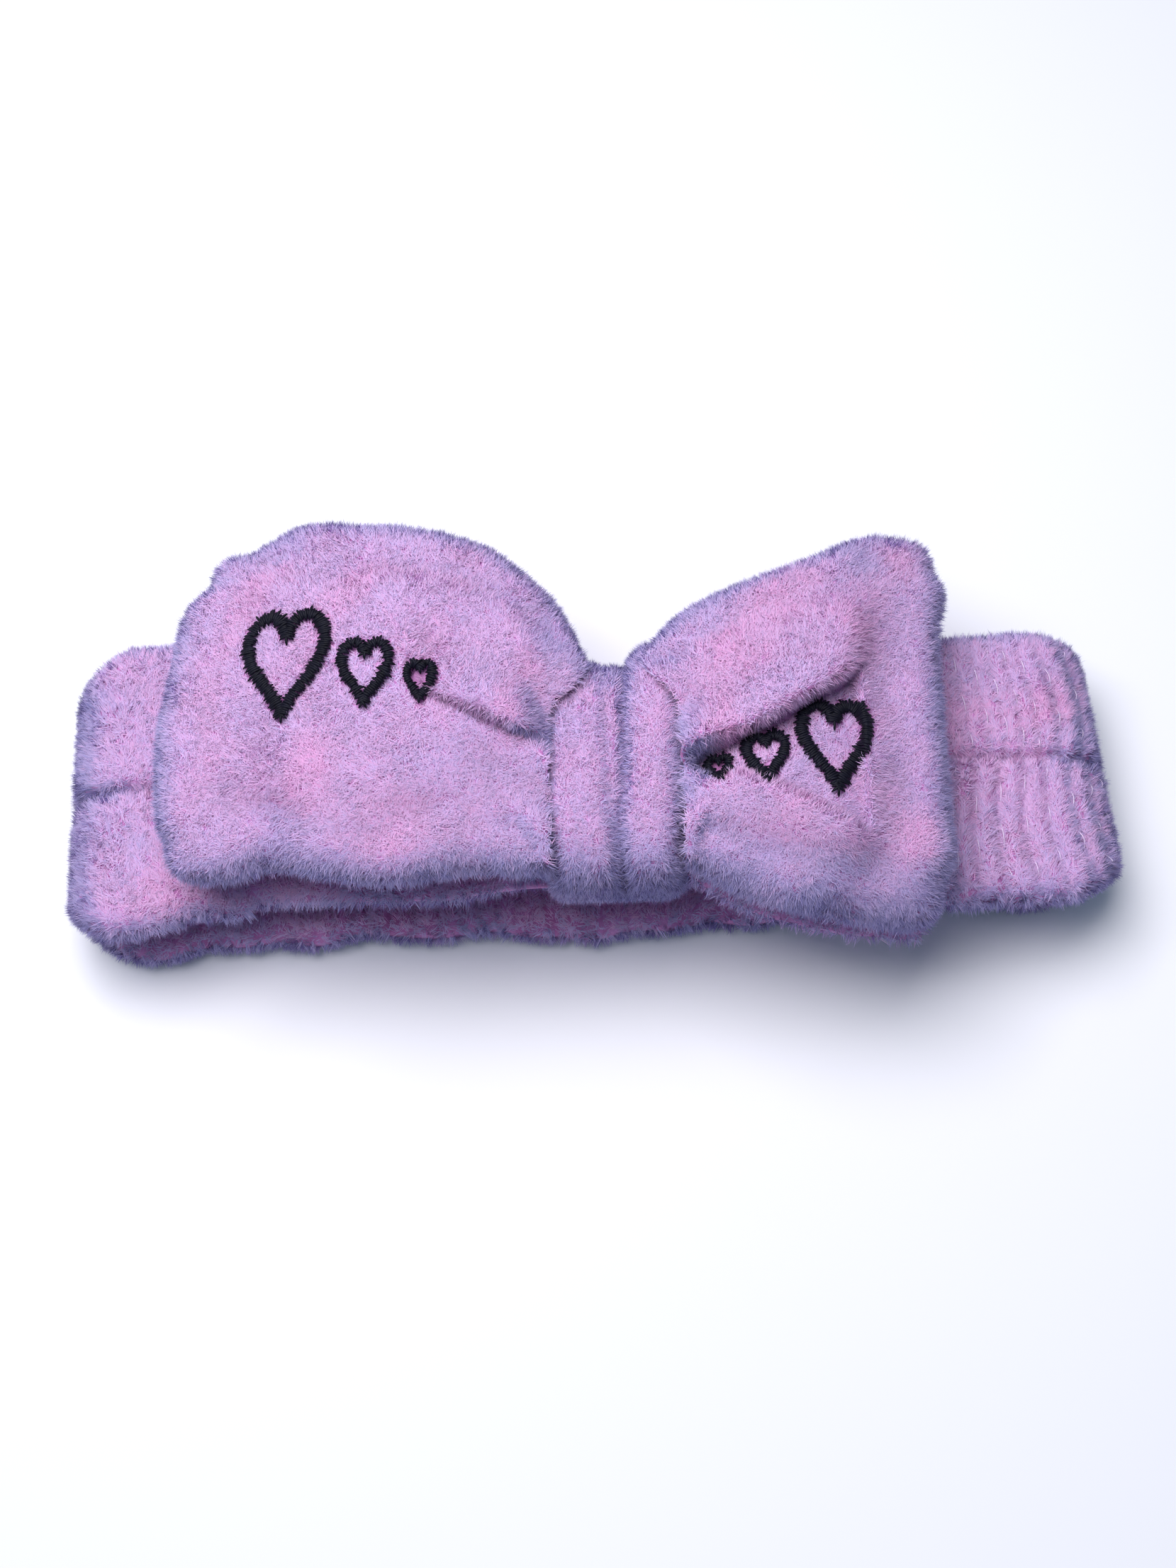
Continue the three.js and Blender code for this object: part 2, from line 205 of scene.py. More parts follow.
def threads(name, paths, radius, finish, sides=6):
    """Round threads that taper at both ends, along paths: threads by points by x, y, z."""
    count, rings = paths.shape[:2]
    along = unit(np.gradient(paths, axis=1))
    beside = unit(np.cross(along, unit(np.array(ASKEW))))
    over = np.cross(beside, along)
    angle = np.linspace(0, TAU, sides, endpoint=False)[:, None]
    taper = np.ones(rings)
    taper[[0, -1]] = TAPER
    rim = beside[:, :, None] * np.cos(angle) + over[:, :, None] * np.sin(angle)
    points = paths[:, :, None] + radius * taper[None, :, None, None] * rim
    index = np.arange(count * rings * sides).reshape(count, rings, sides)
    a, b = index[:, :-1], index[:, 1:]
    quads = np.stack([a, b, np.roll(b, -1, 2), np.roll(a, -1, 2)], -1).reshape(-1, 4)
    ends = np.concatenate([index[:, 0], index[:, -1, ::-1]])
    return mesh_object(name, points.reshape(-1, 3), [quads, ends], [finish])


def cells_of(grid):
    """The four corners of each cell of a grid of points, in order round it."""
    return grid[:-1, :-1], grid[1:, :-1], grid[1:, 1:], grid[:-1, 1:]


def cell_areas(grid):
    a, b, c, d = cells_of(grid)
    return np.linalg.norm(np.cross(c - a, d - b), axis=-1) / 2


# ---- Materials ----
def srgb(red, green, blue):
    """A colour as a screen shows it, 0 to 255, as linear light."""
    c = np.array([red, green, blue]) / 255
    linear = np.where(c <= 0.04045, c / 12.92, ((c + 0.055) / 1.055) ** 2.4)
    return (*[float(x) for x in linear], 1.0)


SHEEN_TINT = srgb(235, 215, 245)


def new_material(name, roughness, sheen=0.0, tint=(1, 1, 1, 1), gloss=0.25):
    material = bpy.data.materials.new(name)
    material.use_nodes = True
    shader = material.node_tree.nodes["Principled BSDF"]
    shader.inputs["Roughness"].default_value = roughness
    shader.inputs["Specular IOR Level"].default_value = gloss
    shader.inputs["Sheen Weight"].default_value = sheen
    shader.inputs["Sheen Roughness"].default_value = 0.5
    shader.inputs["Sheen Tint"].default_value = tint
    return material, shader


def node(material, kind, **inputs):
    made = material.node_tree.nodes.new(kind)
    for name, value in inputs.items():
        made.inputs[name].default_value = value
    return made


def plain(name, colour):
    material, shader = new_material(name, roughness=0.9, sheen=0.25, tint=SHEEN_TINT)
    shader.inputs["Base Color"].default_value = colour
    return material


GRAIN_SHARE = 0.55  # how much the fine noise adds to the large one
FIRST_STOP, STOPS_OVER = 0.52, 0.5  # where the colours lie on the noise


def mottled(name, colours, blotch, grain, bump, roughness=0.95, sheen=0.3, gloss=0.25):
    """Cloth whose colour wanders in blotches with a finer grain, over a bumpy surface.

    blotch and grain are counts of features per metre, and bump is the depth in millimetres.
    """
    material, shader = new_material(name, roughness, sheen, SHEEN_TINT, gloss)
    links = material.node_tree.links
    place = node(material, "ShaderNodeTexCoord")
    large = node(material, "ShaderNodeTexNoise", Scale=blotch, Detail=3.0, Roughness=0.6)
    small = node(material, "ShaderNodeTexNoise", Scale=grain, Detail=4.0, Roughness=0.7)
    both = node(material, "ShaderNodeMath")
    both.operation = "MULTIPLY_ADD"
    both.inputs[1].default_value = GRAIN_SHARE
    ramp = node(material, "ShaderNodeValToRGB")
    stops = ramp.color_ramp.elements
    while len(stops) < len(colours):
        stops.new(0.5)
    for i, colour in enumerate(colours):
        stops[i].position = FIRST_STOP + STOPS_OVER * i / (len(colours) - 1)
        stops[i].color = colour
    height = node(material, "ShaderNodeBump", Strength=1.0, Distance=bump * MM)
    for texture in (large, small):
        links.new(place.outputs["Object"], texture.inputs["Vector"])
    links.new(small.outputs["Fac"], both.inputs[0])
    links.new(large.outputs["Fac"], both.inputs[2])
    links.new(both.outputs[0], ramp.inputs["Fac"])
    links.new(ramp.outputs["Color"], shader.inputs["Base Color"])
    links.new(small.outputs["Fac"], height.inputs["Height"])
    links.new(height.outputs["Normal"], shader.inputs["Normal"])
    return material


# The skin has its own blotchy pink, made a deeper pink than the strands as painted shade down between
# them.
PINKS = [srgb(176, 104, 164), srgb(194, 128, 188), srgb(206, 148, 208)]
FLEECE_SKIN = mottled("fleece_skin", PINKS, 60, 900, 0.6)
# Strands go from pink over lilac to dusky violet. The darker shades are painted shade for steep
# slopes near the edges.
PILE_SHADES = [
    plain("pile_blush", srgb(230, 172, 218)),
    plain("pile_rose", srgb(224, 178, 221)),
    plain("pile_pink", srgb(217, 180, 223)),
    plain("pile_lilac", srgb(208, 181, 226)),
    plain("pile_pale", srgb(196, 178, 223)),
    plain("pile_faint_painted_shade", srgb(178, 167, 214)),
    plain("pile_painted_dusk", srgb(154, 147, 200)),
    plain("pile_shadow", srgb(128, 121, 180)),
]
WEBBING = mottled("woven_elastic", [srgb(214, 208, 216), srgb(238, 235, 240)], 300, 1400, 0.3)
WADDING = mottled("wadding_fibre", [srgb(226, 220, 228), srgb(247, 244, 248)], 120, 700, 0.8)
PINK_THREAD = mottled("pink_thread", [srgb(196, 110, 170), srgb(226, 160, 208)], 400, 3000, 0.1,
                      roughness=0.6)
CLEAR_THREAD = mottled("clear_thread", [srgb(222, 196, 232), srgb(246, 232, 250)], 300, 3000, 0.05,
                       roughness=0.25)
BLACK_THREAD = mottled("black_thread", [srgb(6, 6, 14), srgb(20, 20, 36)], 500, 4000, 0.1,
                       roughness=0.5, sheen=0, gloss=0.2)


# ---- Pile ----
LEAN, LEAN_SPREAD = 54, 10  # the tufts' angle from upright, in degrees
UPRIGHT, FLATTEST = 3, 80
STRAND_WIDTH = 0.24
ROOT_DEPTH = 0.4  # how far under the face a strand starts
TUFT_SPREAD = 0.45
TIP_SPREAD = 0.22
SWIRL_SIZE, SWIRL = 16, 0.25  # the tufts lean together over this distance, by this much
SOFTNESS = 0.8  # how much of a strand's shading follows the surface that it stands on
# Shades are places in PILE_SHADES. Steep slopes near the cloth's rim and at the ring's ends get
# duskier shades, as painted shade where the light falls off them, and others, in its creases, rosier
# ones, as a painted glow of light through the cloth.
USUAL_SHADE = 2.2
RIM_PAINTED_SHADE, CREASE_PAINTED_GLOW = 5.2, -1.5
BLUSH_SHIFT, DRIFT = -1.1, 0.3
TUFT_NOISE, STRAND_NOISE = 0.5, 0.6
RIM_FROM, RIM_OVER = 0.72, 0.2  # shares of the way out from the face's middle
RING_END_OVER = 8  # length over which the ring's end begins
STEEP_FROM = 0.28  # a gentler slope than this counts as flat


def pile(name, face, per_mm2, length=2.2, closed=False, comb=None, keep=None, strands=3, seed=1):
    """Fine tapered strands standing on a face, a few together in each tuft.

    per_mm2 is strands per square millimetre, comb a direction that the pile is brushed in, and
    keep a function of points that says how likely a tuft is there.
    """
    rng = np.random.default_rng(seed)
    if closed:
        face = np.concatenate([face, face[:1]])
    normal = normals_of(face)
    chance = cell_areas(face).ravel()
    if keep is not None:
        middle = sum(cells_of(face)) / 4
        chance = chance * keep(middle.reshape(-1, 3))
    count = int(chance.sum() * per_mm2 * DENSITY / strands)
    cell = rng.choice(len(chance), count, p=chance / chance.sum())
    row, column = np.divmod(cell, face.shape[1] - 1)
    s, t = rng.random((2, count, 1))

    def at(grid):
        low = mix(grid[row, column], grid[row, column + 1], t)
        high = mix(grid[row + 1, column], grid[row + 1, column + 1], t)
        return mix(low, high, s)

    root, up = at(face), unit(at(normal))
    swirl = unit(rng.normal(size=(count, 3)))
    swirl += SWIRL * np.stack([wander(root, SWIRL_SIZE, seed + k) for k in (11, 12, 13)], -1)
    if comb is not None:
        swirl = swirl * 0.6 + np.array(comb, float)
    side = unit(swirl - up * (swirl * up).sum(-1, keepdims=True))
    angle = np.radians(np.clip(rng.normal(LEAN, LEAN_SPREAD, (count, 1)), UPRIGHT, FLATTEST))
    # Strands are longer on steep slopes.
    reach = length * rng.uniform(0.8, 1.12, (count, 1)) * (1.25 - 0.25 * np.abs(up[:, 2:]))
    tip = root + reach * (up * np.cos(angle) + side * np.sin(angle))

    rows, columns = face.shape[0] - 1, face.shape[1] - 1
    # rim is 1 near the cloth's edge, at the ring's ends and over all of a closed strap. There, steep
    # slopes get painted shade, and elsewhere a painted rosy glow.
    out = np.maximum(np.abs(2 * row / rows - 1), np.abs(2 * column / columns - 1))
    rim = np.ones(count) if closed else smooth((out - RIM_FROM) / RIM_OVER)
    beyond = np.abs(root[:, 0]) - STRAIGHT
    rim = np.maximum(rim, smooth(beyond / RING_END_OVER + 0.5))

    def each(value):
        return np.repeat(value, strands, axis=0)

    total = count * strands
    root, tip, up, side, rim = map(each, (root, tip, up, side, rim))
    spread = rng.normal(size=(total, 2)) * TUFT_SPREAD
    offset = side * spread[:, :1] + np.cross(up, side) * spread[:, 1:]
    root = root + offset - up * ROOT_DEPTH
    tip = tip + offset * 0.8 + rng.normal(size=(total, 3)) * TIP_SPREAD
    wide = unit(np.cross(tip - root, up))
    half = STRAND_WIDTH / 2 * rng.uniform(0.7, 1.3, (total, 1))
    points = np.stack([root - wide * half, root + wide * half, tip], 1).reshape(-1, 3)
    points[:, 2] = np.maximum(points[:, 2], 0)  # the table presses it flat
    corners = np.arange(3 * total).reshape(total, 3)
    # Steep slopes get painted shade or painted glow. Drift, blushes and noise are tone that differs
    # at random.
    steep = np.clip(np.sqrt(1 - up[:, 2] ** 2) - STEEP_FROM, 0, 1)
    blush = np.clip(wander(root, 30, seed + 5) - 0.2, 0, 1)
    mood = USUAL_SHADE + mix(CREASE_PAINTED_GLOW, RIM_PAINTED_SHADE, rim) * steep
    mood = mood + DRIFT * wander(root, 13, seed + 6) + BLUSH_SHIFT * blush
    mood += each(rng.normal(0, TUFT_NOISE, count)) + rng.normal(0, STRAND_NOISE, total)
    shade = np.clip(np.round(mood), 0, len(PILE_SHADES) - 1).astype(int)
    tufts = mesh_object(name, points, [corners], PILE_SHADES, shade)
    facing = np.cross(wide, unit(tip - root))
    soft = unit(mix(facing, up, SOFTNESS - 0.3 * steep[:, None]))
    tufts.data.normals_split_custom_set_from_vertices(np.repeat(soft, 3, axis=0).astype(np.float32))
    return tufts


# ---- The flattened ring that the band follows ----
def arch(x):
    """How much higher the front lies at x than at the ring's ends."""
    raised = ARCH * np.cos(math.pi * x / (2 * STRAIGHT)) ** 2
    return np.where(np.abs(x) < STRAIGHT, raised, 0.0)


def ring_point(s, d):
    """x and z at a distance s along the wall from the middle of the back, d outside its middle."""
    side, beyond = np.sign(s), np.abs(s) - STRAIGHT
    angle = np.clip(beyond / TURN_RADIUS, 0, math.pi)
    reach = TURN_RADIUS + d
    parts = [beyond <= 0, beyond < TURN_LENGTH]  # the back and the turn, and the rest is the front
    turn_x = STRAIGHT + reach * np.sin(angle)
    turn_z = WALL_HALF + TURN_RADIUS - reach * np.cos(angle)
    x = np.select(parts, [np.abs(s), turn_x], LAST_TURN - beyond)
    z = np.select(parts, [WALL_HALF - d, turn_z], FRONT_MID + d + arch(x))
    return side * x, z


def edge_stations(count):
    """Stations from -1 to 1 that lie closer together towards both ends."""
    t = np.linspace(-1, 1, count)
    return np.sin(math.pi / 2 * t) * 0.6 + t * 0.4


def pillow(v, edge):
    """1 over the middle of the band's height, falling round to 0 at its two edges."""
    t = np.clip((np.abs(v) - (1 - edge)) / edge, 0, 1)
    return np.sqrt(1 - t * t)


# The band's edges as it lies: it sags towards the left, and is drawn in at the right end. Each is
# stations along x and y at them.
UPPER_EDGE = ([-118, -70, 0, 70, 92, 108, 118], [32.6, 32, 31, 31, 29.3, 30.5, 31.5])
LOWER_EDGE = (
    [-118, -100, -82, -62, -48, -25, 0, 20, 40, 95, 118],
    [-35.8, -34.6, -33.6, -32.6, -31.6, -32.3, -32.8, -31.8, -30.4, -27.6, -28.6],
)
MIDDLE_LINE = ([-118, -60, 0, 118], [-4, -1.5, 0, -1])  # where the channel's stitches run
CORNER_SPAN = 16.0
CORNER_CUT = {-1: (5.0, 8.5), 1: (3.0, 2.8)}  # at the lower and the upper corner of each end
SLANT = 0.09  # how the right end leans: x for each millimetre of y
SLANT_FROM = -20.0
SLANT_START, SLANT_OVER = 70, 50  # it starts to lean at this x, and leans fully this much further
FRONT_OVER = 22  # length beside a ring's end over which the front part's own lower edge takes over
# How much lower than the back part the front part hangs.
FRONT_DROOP = (
    [-118, -97, -83, -60, -51, -37, -25, 10, 58, 84, 118],
    [0.5, 0, -1.8, -2.8, -1.3, 0, 1.5, 0, 0, 5.2, 5.2],
)


def band_y(x, v, turned=0.0, front=1.0):
    """y at a share v of the band's height, -1 to 1.

    turned is 1 at the outermost of the band's ends, and front is 1 on its front part and 0 behind.
    """
    cut_low = np.where(x < 0, CORNER_CUT[-1][0], CORNER_CUT[1][0]) * turned
    cut_high = np.where(x < 0, CORNER_CUT[-1][1], CORNER_CUT[1][1]) * turned
    middle = across(*MIDDLE_LINE, x)
    low = across(*LOWER_EDGE, x) + cut_low - front * across(*FRONT_DROOP, x)
    high = across(*UPPER_EDGE, x) - cut_high
    return middle + np.where(v > 0, (high - middle) * v, (middle - low) * v)


def slanted(x, y):
    """x once the right end leans."""
    return x - SLANT * (y - SLANT_FROM) * smooth((x - SLANT_START) / SLANT_OVER)


def turn_share(s):
    """1 at the outermost of the ring's ends, falling to 0 on either side."""
    return smooth(1 - np.abs(np.abs(s) - HALF_TURN) / CORNER_SPAN)


# ---- Gathered cover over the elastics ----
RIDGE = 4.6  # usual distance between two gathers
CHANNEL_SEAM = 1.3  # half the width of the groove along the stitched channel
GROOVE_DEPTH = 2.3


def uneven(s, channel, y):
    """How far the gathers stray from even spacing. channel is 1 above the stitches, -1 below."""
    bent = 1.1 * np.sin(s / 6.1 + 2 * channel) + 1.6 * np.sin(s / 14.3 + channel)
    return bent + 1.2 * np.sin(y / 8.0 + s / 21) + channel * 1.3


def gathers(s, y):
    """Height of the gathers, in millimetres."""
    channel = np.sign(y)
    fold = np.abs(np.sin(math.pi * (s + uneven(s, channel, y)) / RIDGE)) ** 0.75
    strength = 0.55 + 0.45 * np.sin(s / 17 + 1.9 * channel)
    calm = mix(0.25, 1.4, smooth((s + 95) / 60))  # the left end is stretched smooth
    return (fold - 0.6) * (0.7 + 0.9 * strength) * calm


def cover_depth(s, v, y):
    """How far the cover's skin stands from the middle of the wall."""
    groove = np.exp(-((v * HALF_HEIGHT / CHANNEL_SEAM) ** 2))
    d = (WALL_HALF - PILE_ROOM) * pillow(v, 0.16) - GROOVE_DEPTH * groove * pillow(v, 0.3)
    lift = gathers(s, y) * pillow(v, 0.25) * (1 - 0.7 * groove)
    # The left end's front is puffed up above and below the groove.
    puff = smooth((-s - 98) / 12) * smooth((150 + s) / 20) * (1 - 0.9 * turn_share(s))
    return np.maximum(d + lift, 0.25) + 1.6 * puff * pillow(v, 0.5) * (1 - groove)


def ring_place(s, v, d):
    """A point of the ring as it lies: s along it, v across it, and d outside its middle."""
    x, z = ring_point(s, d)
    y = band_y(x, v, turn_share(s), smooth((np.abs(s) - HALF_TURN) / FRONT_OVER))
    return np.stack([slanted(x, y), y, z], -1)


def cover_face(s, v, layer):
    """The face of one layer of the cover, as a grid of points. layer is 1 outside, -1 inside."""
    s, v = np.meshgrid(s, v, indexing="ij")
    points = ring_place(s, v, layer * cover_depth(s, v, HALF_HEIGHT * v))
    # The edges are never quite straight.
    points[..., 1] += 0.9 * wander(np.stack([s, 0 * s, 0 * s], -1), 23, 3) * np.abs(v) ** 3
    return points


def on_ring(piece, part, node_name):
    """Fixes a quarter of the ring in place, and hides node_name, the CAD node that it stands for.
    """
    if part == "back":
        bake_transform(piece)
    else:
        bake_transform(piece)
    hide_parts(node_name)


def on_front(piece, node_name):
    """Fixes a piece to the front band."""
    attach(piece, "front_band")
    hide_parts(node_name)


ROLL_RADIUS = 1.6
ROLL_PLACE = 0.92  # share of the band's height


def edge_rolls(name, part, lines, node_name):
    """The layers' raw edges, rolled in together. They show when the layers part as the ring opens."""
    rolls = threads(name, np.stack(lines), ROLL_RADIUS, FLEECE_SKIN, sides=10)
    on_ring(rolls, part, node_name)


COVER_END = LAST_TURN + STRAIGHT - FRONT_HALF
OVERLAP = 1.5  # how far a back quarter and a front quarter reach past each other
SIDES = {"left": -1, "right": 1}
QUARTERS = [("back", 0, HALF_TURN + OVERLAP), ("front", HALF_TURN - OVERLAP, COVER_END)]
COVER_PILE = {"back": 16.0, "front": 18.0}  # strands for each square millimetre
INSIDE_PILE = 8.0
BAND_STRAND = 2.4

v_band = edge_stations(101)
for side_name, side in SIDES.items():
    for part, start, end in QUARTERS:
        stations = np.linspace(start, end, int((end - start) / 0.7)) * side
        for layer_name, layer in [("outer", 1), ("lining", -1)]:
            face = cover_face(stations, v_band, layer)
            if side * layer > 0:
                face = face[:, ::-1]
            title = f"{layer_name}_{part}_{side_name}"
            cover = shell("cover_" + title, face, FABRIC, FLEECE_SKIN)
            seen = COVER_PILE[part] if layer > 0 else INSIDE_PILE
            tufts = pile("pile_" + title, face, seen, length=BAND_STRAND, comb=(0, 0.3, 0), strands=6,
                         seed=20 + int(side + 2 * layer) + len(part))
            for piece in (cover, tufts):
                on_ring(piece, part, "back_band_" + layer_name)
        lines = [ring_place(stations, v + 0 * stations, 0) for v in (-ROLL_PLACE, ROLL_PLACE)]
        edge_rolls(f"cover_edge_{part}_{side_name}", part, lines, "back_band_outer")


# ---- Elastics, and the stitches between them ----
WEB_THICK = 1.2
WEB_END = COVER_END - 3.4
STITCH, STITCH_GAP = 3.0, 1.3
SHINY_RADIUS = 0.11
ZIGZAGS, ZIGZAG_WIDE = 40, 1.1


def gathering_lines(start, end):
    """Threads that run across the gathers, in their valleys, and come up here and there."""
    valleys = np.arange(math.ceil(start / RIDGE), int(end / RIDGE) + 1)[:, None] * RIDGE
    v = np.linspace(0.08, 0.86, 120)[None]
    halves = []
    for channel in (-1, 1):
        y = channel * v * HALF_HEIGHT
        s = np.clip(valleys - uneven(valleys, channel, y), start, end)
        rise = 0.6 + 1.3 * np.sin(20 * v + valleys)
        halves.append(ring_place(s, channel * v, cover_depth(s, channel * v, y) + rise))
    return np.concatenate(halves)


webs = {
    "upper_elastic": (web_low[1] / HALF_HEIGHT, web_high[1] / HALF_HEIGHT),
    "lower_elastic": (-web_high[1] / HALF_HEIGHT, -web_low[1] / HALF_HEIGHT),
}
for side_name, side in SIDES.items():
    for part, start, end in QUARTERS:
        end = min(end, WEB_END)
        stations = np.linspace(start, end, int((end - start) / 1.5)) * side
        for web_name, (low, high) in webs.items():
            s, v = np.meshgrid(stations, np.linspace(low, high, 25), indexing="ij")
            rib = 0.12 * np.cos(TAU * v * HALF_HEIGHT / 2)
            face = ring_place(s, v, WEB_THICK / 2 + rib)
            if side > 0:
                face = face[:, ::-1]
            web = shell(f"{web_name}_{part}_{side_name}", face, WEB_THICK, WEBBING)
            on_ring(web, part, web_name)

        begins = np.arange(start, end - STITCH, STITCH + STITCH_GAP)[:, None]
        share = np.linspace(0, 1, 7)[None]
        s = np.concatenate([begins + STITCH * share] * 2) * side
        layer = np.repeat([1.0, -1.0], len(begins))[:, None]
        v = 0 * s
        out = cover_depth(s, v, v) + 0.1 + 0.45 * np.sin(math.pi * share)
        row = threads(f"channel_stitches_{part}_{side_name}", ring_place(s, v, layer * out),
                      THREAD, PINK_THREAD)
        on_ring(row, part, "channel_stitching")

        if side > 0:
            shiny = threads(f"gathering_threads_{part}", gathering_lines(start, end),
                            SHINY_RADIUS, CLEAR_THREAD)
            on_ring(shiny, part, "back_band_outer")

    # Zigzag stitches hold the elastics' ends.
    t = np.linspace(-1, 1, 4 * ZIGZAGS + 1)
    zigzag = np.abs((t * ZIGZAGS) % 2 - 1) * 2 - 1
    s = side * (WEB_END + 1.6 + ZIGZAG_WIDE * zigzag)
    lift = 0.3 * np.cos(math.pi * zigzag)
    anchor = threads(f"{side_name}_anchor_zigzag", ring_place(s, t * 0.8, lift)[None],
                     THREAD, PINK_THREAD)
    on_ring(anchor, "front", f"{side_name}_elastic_anchor")


# ---- Smooth front band ----
WAIST_HALF = KNOT_HALF + 2  # half the length of the part that is drawn in fully
WAIST_REACH = 34.0  # length over which it widens again
WAIST_HEIGHT = HALF_HEIGHT - 13  # half the band's height inside the knot
FRONT_PILE, FRONT_INSIDE_PILE = 12.0, 6.0


def waist(x):
    """1 inside the knot, falling to 0 where the band has its full height."""
    return 1 - smooth((np.abs(x - KNOT_X) - WAIST_HALF) / WAIST_REACH)


def front_place(x, v, d):
    """A point of the front band as it lies: v across it and d outside its middle."""
    y = mix(band_y(x, v), KNOT_Y + WAIST_HEIGHT * v, waist(x))
    return np.stack([slanted(x, y), y, FRONT_MID + arch(x) + d], -1)


def front_face(x, v, layer):
    x, v = np.meshgrid(x, v, indexing="ij")
    place = np.stack([x, HALF_HEIGHT * v, 0 * x], -1)
    d = (WALL_HALF - PILE_ROOM) * pillow(v, 0.18) + 0.5 * wander(place, 30, 8) * pillow(v, 0.3)
    # Pleats run out of the knot, which draws the band in.
    pleat = np.cos(v * 11 + 0.03 * x) * smooth(waist(x) * 1.2)
    d = np.maximum(d + pleat * pillow(v, 0.3), 0.25)
    points = front_place(x, v, layer * d)
    points[..., 1] += 1.2 * wander(place, 26, 9) * np.abs(v) ** 3
    points[..., 2] += 0.6 * wander(place, 45, 10) * np.abs(v) ** 2
    return points


WADDING_THICK = 1.4
WADDED = 0.8  # share of the band's height that the wadding fills
JOIN_WRAPS, JOIN_WIDTH, JOIN_DEPTH = 36, 0.35, 2.6
for side_name, side in SIDES.items():
    stations = np.linspace(FRONT_HALF * side, KNOT_X, 110)
    for layer_name, layer in [("outer", 1), ("lining", -1)]:
        face = front_face(stations, v_band, layer)
        if side * layer > 0:
            face = face[:, ::-1]
        title = f"front_{layer_name}_{side_name}"
        band = shell(title, face, FABRIC, FLEECE_SKIN)
        seen = FRONT_PILE if layer > 0 else FRONT_INSIDE_PILE
        tufts = pile("pile_" + title, face, seen, length=BAND_STRAND, strands=5,
                     seed=40 + int(side + 2 * layer))
        for piece in (band, tufts):
            on_ring(piece, "front", "front_band_" + layer_name)
    lines = [front_place(stations, v + 0 * stations, 0) for v in (-ROLL_PLACE, ROLL_PLACE)]
    edge_rolls(f"front_edge_{side_name}", "front", lines, "front_band_outer")

    x, v = np.meshgrid(stations[1:], np.linspace(-WADDED, WADDED, 41), indexing="ij")
    fluff = 0.2 * wander(np.stack([x, v * HALF_HEIGHT, 0 * x], -1), 9, 12)
    face = front_place(x, v, WADDING_THICK / 2 + fluff)
    if side > 0:
        face = face[:, ::-1]
    wadding = shell(f"wadding_{side_name}", face, WADDING_THICK, WADDING)
    on_ring(wadding, "front", "front_band_wadding")

    # Overlocking wraps the raw edges where the front band meets the gathered cover.
    t = np.linspace(-1, 1, 6 * JOIN_WRAPS + 1)
    wrap = TAU * JOIN_WRAPS * (t + 1) / 2
    x = side * (FRONT_HALF + 0.5 + JOIN_WIDTH * np.sin(wrap))
    wrapped = front_place(x, t * ROLL_PLACE, JOIN_DEPTH * np.cos(wrap))
    seam = threads(f"{side_name}_overlock", wrapped[None], THREAD, PINK_THREAD)
    on_ring(seam, "front", f"{side_name}_join_seam")


# ---- Knot ----
STRAP_HALF = 23.8  # from the knot's middle to its skin, along Y
STRAP_TALL = (knot_high[2] - knot_low[2]) / 2 - 1.4
STRAP_THICK = 2.4
STRAP_POWER = 3.2  # between an ellipse, 2, and a rectangle
KNOT_Z = (knot_high[2] + knot_low[2]) / 2
KNOT_PILE = 20.0
DEEP_CREASE = 0.14  # where it lies across the strap
# Each crease's depth, place across the strap, slant, waviness and width.
CREASES = [
    (1.9, DEEP_CREASE, 0.05, 0.03, 0.095),
    (0.8, -0.1, -0.08, 0, 0.09),
    (0.6, -0.6, -0.08, 0, 0.1),
]


def knot_face(t, q):
    """t goes once round the strap, and q from -1 to 1 along X across it."""
    t, q = np.meshgrid(t, q, indexing="ij")
    c, s = np.cos(t), np.sin(t)
    rim = (np.abs(c) ** STRAP_POWER + np.abs(s) ** STRAP_POWER) ** (-1 / STRAP_POWER)
    top = smooth((s + 0.2) / 0.8)
    rim_wide = mix(0.24, 0.36, smooth(q))
    beyond = np.clip(np.abs(q) - 1 + rim_wide, 0, 1) / rim_wide
    roll = 1 - np.sqrt(np.clip(1 - beyond**2, 0, 1))
    crease = 0
    for depth, place, slant, wavy, wide in CREASES:
        line = place + slant * c + wavy * np.sin(5 * t)
        crease = crease + depth * np.exp(-(((q - line) / wide) ** 2)) * top
    left_lobe = 1.5 * (1 - ((q + 0.45) / 0.62) ** 2)
    right_lobe = 1.3 * (1 - ((q - 0.6) / 0.5) ** 2)
    bulge = np.where(q < DEEP_CREASE, left_lobe, right_lobe)
    puff = np.clip(bulge, -1, 2) * top - mix(1.9, 3.2, smooth(q)) * roll - crease
    y = KNOT_Y + 0.8 + (STRAP_HALF + puff) * rim * c + 4.6 * smooth(q / 0.5) * smooth(c)
    z = KNOT_Z + (STRAP_TALL + puff) * rim * s
    narrow = 1 - 0.08 * smooth(-c) * top + 0.03 * smooth(c)
    x = KNOT_X + (KNOT_HALF - 0.8) * q * narrow + 0.5 * np.sin(2 * t + 1)
    return np.stack([x, y, z], -1)


t_round = np.linspace(0, TAU, 200, endpoint=False)
face = knot_face(t_round, edge_stations(81))
knot = shell("knot_strap", face, STRAP_THICK, FLEECE_SKIN, closed=True)
knot_pile = pile("knot_pile", face, KNOT_PILE, length=2.1, closed=True, seed=70)
for piece in (knot, knot_pile):
    on_front(piece, "knot_wrap")

